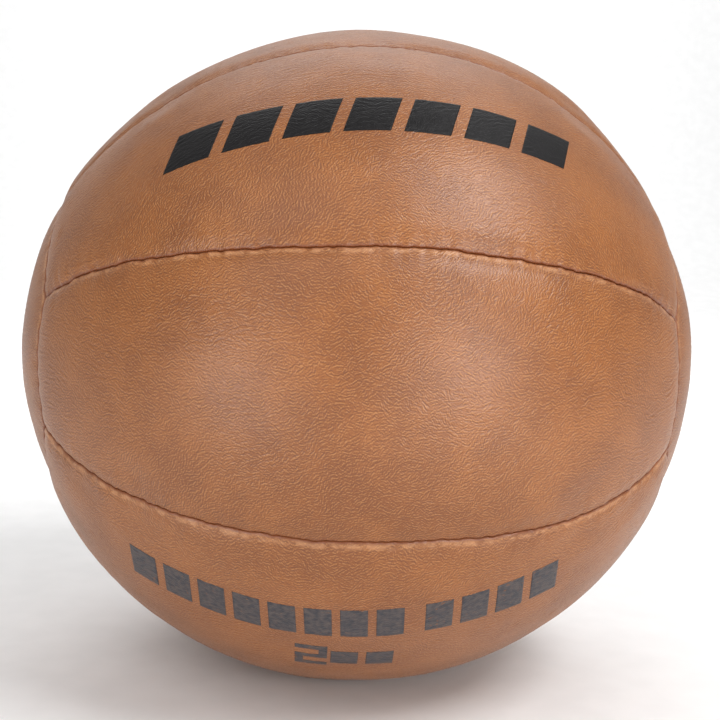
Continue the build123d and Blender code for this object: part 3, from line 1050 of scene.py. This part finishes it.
black_ink = ink_material("print_black", rgb(16, 14, 15), rgb(22, 20, 21), 1.1, 1.3, 0.2)
slate_ink = ink_material("print_slate", rgb(52, 52, 58), rgb(84, 76, 74), 0.82, 1.12, 0.3)
upper = block_row(0.0, UPPER_Y, UPPER_COUNT, UPPER_BLOCK, UPPER_GAP, UPPER_LEAN, UPPER_TILT)
lower = []
for x, count in LOWER_GROUPS:
    lower += block_row(x, LOWER_Y, count, LOWER_BLOCK, LOWER_GAP, tilt=LOWER_TILT)
weight = numeral_two(NUMERAL_X, WEIGHT_Y)
weight += block_row(UNIT_X, WEIGHT_Y, UNIT_COUNT, UNIT_BLOCK, LOWER_GAP)
printed("ink_upper_band", "print_upper_band", "gore_front_top", upper, black_ink)
printed("ink_lower_band", "print_lower_band", "gore_front_bottom", lower, slate_ink)
printed("ink_weight_mark", "print_weight_mark", "gore_front_bottom", weight, slate_ink)

# ---------------------------------------------------------------- sewing and fillings, as the CAD has them


STRAND_PITCH = 1.1 * MM


def twist_material(name, dark, pale, rough):
    """Laid strands of a thread or cord."""
    sh = Shader(name)
    place = sh.position()
    x, y, z = sh.split(place)
    lay = sh.weighted((x, 1), (y, 1), (z, 1.4))
    strands = sh.math("SINE", sh.math("MULTIPLY", lay, 2 * math.pi / STRAND_PITCH))
    fluff = sh.noise(place, 2600.0, 3.0, 0.6)
    height = sh.weighted((strands, 0.5), (fluff, 1))
    color = sh.mix(sh.ramp(height, -0.1, 1.1), dark, pale)
    fuzz = sh.ramp(fluff, 0.3, 0.7, rough, rough + 0.15)
    return sh.finish(base_color=color, roughness=fuzz, normal=sh.bump(height, 0.5, 0.0001))


def weave_material(name, dark, pale, pitch):
    """Plain-woven cloth with slubs, its yarns one pitch (mm) apart."""
    sh = Shader(name)
    place = sh.position()
    x, y, z = sh.split(place)
    rate = math.pi / (pitch * MM)
    warp = sh.math("SINE", sh.math("MULTIPLY", x, rate))
    weft = sh.math("SINE", sh.math("MULTIPLY", sh.math("ADD", y, z), rate))
    yarns = sh.math("MULTIPLY", warp, weft)
    slubs = sh.noise(place, 900.0, 3.0, 0.6)
    color = sh.mix(sh.ramp(sh.weighted((yarns, 0.3), (slubs, 1)), 0.1, 0.9), dark, pale)
    rough = sh.ramp(slubs, 0.3, 0.7, 0.8, 0.95)
    return sh.finish(base_color=color, roughness=rough, normal=sh.bump(yarns, 0.4, 0.0002), sheen_weight=0.3)


def rag_material():
    """Shredded textile: scraps of many greys and browns with fibres on them."""
    sh = Shader("textile_stuffing")
    place = sh.position()
    scraps = sh.noise(place, 90.0, 1.0)
    fibres = sh.noise(place, 1400.0, 4.0, 0.7)
    color = sh.mix(sh.ramp(scraps, 0.35, 0.65), rgb(120, 126, 138), rgb(196, 184, 166))
    color = sh.mix(sh.ramp(fibres, 0.3, 0.7, 0.0, 0.6), color, rgb(92, 84, 80))
    height = sh.weighted((scraps, 2.0), (fibres, 1))
    rough = sh.ramp(fibres, 0.3, 0.7, 0.85, 0.98)
    return sh.finish(base_color=color, roughness=rough, normal=sh.bump(height, 0.6, 0.001))


def sand_material():
    """Dry mixed sand."""
    sh = Shader("sand")
    place = sh.position()
    grains = sh.noise(place, 2200.0, 2.0, 0.5)
    minerals = sh.noise(place, 1500.0, 1.0)
    color = sh.mix(sh.ramp(minerals, 0.35, 0.65), rgb(172, 142, 100), rgb(214, 192, 156))
    color = sh.mix(sh.ramp(minerals, 0.66, 0.7), color, rgb(96, 80, 66))
    rough = sh.ramp(grains, 0.3, 0.7, 0.75, 0.95)
    return sh.finish(base_color=color, roughness=rough, normal=sh.bump(grains, 0.8, 0.0004))


waxed_thread = twist_material("waxed_thread", rgb(58, 34, 20), rgb(112, 72, 44), 0.4)
tie_cord = twist_material("tie_cord", rgb(168, 158, 138), rgb(222, 214, 198), 0.75)
INSIDE = {
    "liner_bag": weave_material("liner_cotton", rgb(176, 166, 142), rgb(222, 214, 194), 0.9),
    "weight_pouch": weave_material("pouch_canvas", rgb(142, 130, 106), rgb(196, 184, 156), 1.6),
    "stuffing": rag_material(),
    "weight_fill": sand_material(),
    "liner_tie": tie_cord,
    "pouch_tie": tie_cord,
}
for name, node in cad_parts.items():
    material = waxed_thread if name.startswith("thread_") else INSIDE.get(name)
    if material is not None:
        node.data.materials.clear()
        node.data.materials.append(material)

# ---------------------------------------------------------------- studio

# Fitted to the photo's outline and seams
CAMERA_DISTANCE = 0.444
CAMERA_SIDE = math.radians(1.5)
CAMERA_HEIGHT = math.radians(6.6)
CAMERA_ROLL = math.radians(2.2)
LENS, SENSOR = 64.7, 36.0
AIM = (0.0012, 0.0, -0.0016)

toward = np.array(
    [
        -math.sin(CAMERA_SIDE) * math.cos(CAMERA_HEIGHT),
        -math.cos(CAMERA_SIDE) * math.cos(CAMERA_HEIGHT),
        math.sin(CAMERA_HEIGHT),
    ]
)


def look_at(obj, place, target, roll=0.0):
    """Put an object at a place, facing a target."""
    facing = (Vector(target) - Vector(place)).to_track_quat("-Z", "Y")
    obj.location = Vector(place)
    obj.rotation_euler = (facing @ Quaternion((0, 0, 1), roll)).to_euler()


camera = bpy.data.objects.new("camera", bpy.data.cameras.new("camera"))
bpy.context.scene.collection.objects.link(camera)
camera.data.lens = LENS
camera.data.sensor_width = SENSOR
camera.data.clip_start = 0.01
look_at(camera, CENTRE + toward * CAMERA_DISTANCE, CENTRE + np.array(AIM), CAMERA_ROLL)
bpy.context.scene.camera = camera


def softbox(name, place, target, size, power):
    """Square soft light."""
    lamp = bpy.data.objects.new(name, bpy.data.lights.new(name, "AREA"))
    bpy.context.scene.collection.objects.link(lamp)
    lamp.data.size = size
    lamp.data.energy = power
    look_at(lamp, place, target)


# Name, place and target from the ball's centre, width (m) and power (W)
LAMPS = [
    ("key", (0.62, -0.54, 0.96), (0, 0, 0), 0.5, 8.6),
    ("right", (0.36, -0.62, 0.06), (0, 0, 0), 0.26, 1.8),
    ("left", (-0.44, -0.6, -0.04), (0, 0, 0), 0.2, 1.3),
    ("front", (-0.6, -1.0, 1.1), (0, 0, 0), 1.0, 4.6),
    ("backdrop", (0.0, 0.9, 1.2), (0.0, 1.6, 0.2), 1.2, 16.0),
]
for name, place, target, size, power in LAMPS:
    softbox(name, CENTRE + np.array(place), CENTRE + np.array(target), size, power)

WORLD_STRENGTH = 0.43
world = bpy.data.worlds.new("studio")
world.use_nodes = True
background = world.node_tree.nodes["Background"]
background.inputs["Color"].default_value = (1, 1, 1, 1)
background.inputs["Strength"].default_value = WORLD_STRENGTH
bpy.context.scene.world = world
bpy.context.scene.view_settings.view_transform = "Standard"


def sweep_floor():
    """Pale floor that curves up behind the ball."""
    half, back, rise, bend = 6.0, 1.6, 2.4, 0.6
    turn = np.linspace(0, math.pi / 2, 17)
    y = np.concatenate([[-half, -0.8], back + bend * np.sin(turn), [back + bend]])
    z = np.concatenate([[0, 0], bend * (1 - np.cos(turn)), [rise]])
    x = np.linspace(-half, half, 9)
    points = np.stack([np.tile(x, len(y)), np.repeat(y, len(x)), np.repeat(z, len(x))], axis=-1)
    index = np.arange(len(points)).reshape(len(y), len(x))
    quads = np.stack([index[:-1, :-1], index[:-1, 1:], index[1:, 1:], index[1:, :-1]], axis=-1).reshape(-1, 4)
    return make_object("floor", points, quads.tolist())


floor = sweep_floor()
sh = Shader("studio_floor")
paper = sh.ramp(sh.noise(sh.position(), 60.0, 4.0), 0.3, 0.7)
white = sh.mix(paper, (0.9, 0.9, 0.9, 1), (0.93, 0.93, 0.93, 1))
floor.data.materials.append(sh.finish(base_color=white, roughness=0.8))
